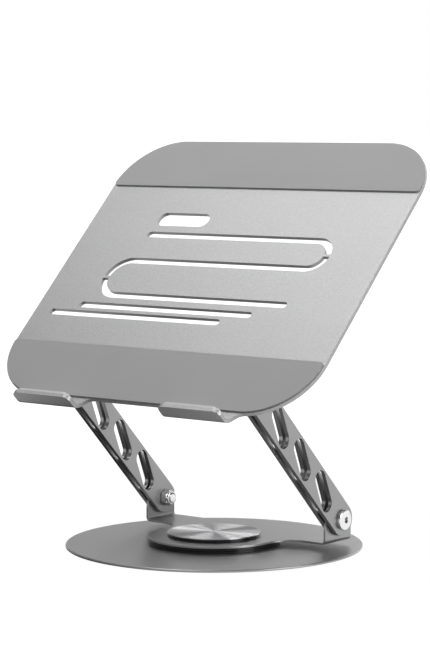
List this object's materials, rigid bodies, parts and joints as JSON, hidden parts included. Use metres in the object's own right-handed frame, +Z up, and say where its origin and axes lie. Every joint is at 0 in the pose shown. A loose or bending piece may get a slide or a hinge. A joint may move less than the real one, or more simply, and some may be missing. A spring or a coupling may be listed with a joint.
{
  "type": "adjustable laptop stand",
  "caption": "Laptop stand with a slotted, padded platform and front hooks on twin-plate arms that fold over a folded yoke turning on a round metal foot.",
  "frame": {"origin": "centre of the foot's non-slip sheet, on the floor, on the turntable axis", "axes": "+Z up, -Y towards the user and the hooks, +X to the right seen from the front"},
  "size_m": [0.2614, 0.2005, 0.2711],
  "materials": {
    "satin_grey_metal": "satin",
    "silver_aluminium": "fine bead-blasted, anodised",
    "turned_aluminium": "radially turned",
    "gloss_black": "gloss",
    "black_rubber": "matt",
    "grey_silicone": "matt",
    "pale_silicone": "matt",
    "nylon": "matt",
    "bright_steel": "bright",
    "chrome_screws": "polished"
  },
  "bodies": {
    "base": {"base_plate": "satin_grey_metal", "base_grip": "black_rubber", "bearing_lower": "gloss_black", "bearing_balls": "bright_steel", "lower_rivets": "bright_steel", "spindle": "bright_steel", "glide_washer": "nylon", "spindle_clip": "bright_steel"},
    "yoke": {"yoke_plate": "satin_grey_metal", "bearing_upper": "gloss_black", "upper_rivets": "bright_steel", "cap_body": "gloss_black", "cap_face": "turned_aluminium"},
    "arms": {"left_arm_outer": "satin_grey_metal", "left_arm_inner": "satin_grey_metal", "right_arm_outer": "satin_grey_metal", "right_arm_inner": "satin_grey_metal", "left_lower_washers": "nylon", "right_lower_washers": "nylon", "left_upper_washers": "nylon", "right_upper_washers": "nylon", "left_lower_screw": "chrome_screws", "right_lower_screw": "chrome_screws", "left_lower_nut": "chrome_screws", "right_lower_nut": "chrome_screws"},
    "tilt_pins": {"left_upper_screw": "chrome_screws", "right_upper_screw": "chrome_screws", "left_upper_nut": "chrome_screws", "right_upper_nut": "chrome_screws"},
    "platform": {"platform_plate": "silver_aluminium", "left_bracket": "satin_grey_metal", "right_bracket": "satin_grey_metal", "bracket_rivets": "bright_steel", "front_pad": "grey_silicone", "back_pad": "grey_silicone", "left_liner": "pale_silicone", "right_liner": "pale_silicone"}
  },
  "joints": [
    {"name": "turntable_spin", "type": "hinge", "parent": "base", "child": "yoke", "pos_m": [0, 0, 0.0077], "axis": [0, 0, 1], "continuous": true},
    {"name": "arm_lift", "type": "hinge", "parent": "yoke", "child": "arms", "pos_m": [0, 0.0358, 0.0218], "axis": [1, 0, 0], "range_deg": [-45, 45]},
    {"name": "tilt_keep", "type": "hinge", "parent": "arms", "child": "tilt_pins", "pos_m": [0, -0.05471, 0.11231], "axis": [1, 0, 0], "range_deg": [-45, 45]},
    {"name": "platform_tilt", "type": "hinge", "parent": "tilt_pins", "child": "platform", "pos_m": [0, -0.05471, 0.11231], "axis": [1, 0, 0], "range_deg": [-45, 5]}
  ],
  "couplings": [
    {"joint": "tilt_keep", "follows": "arm_lift", "ratio": -1}
  ]
}
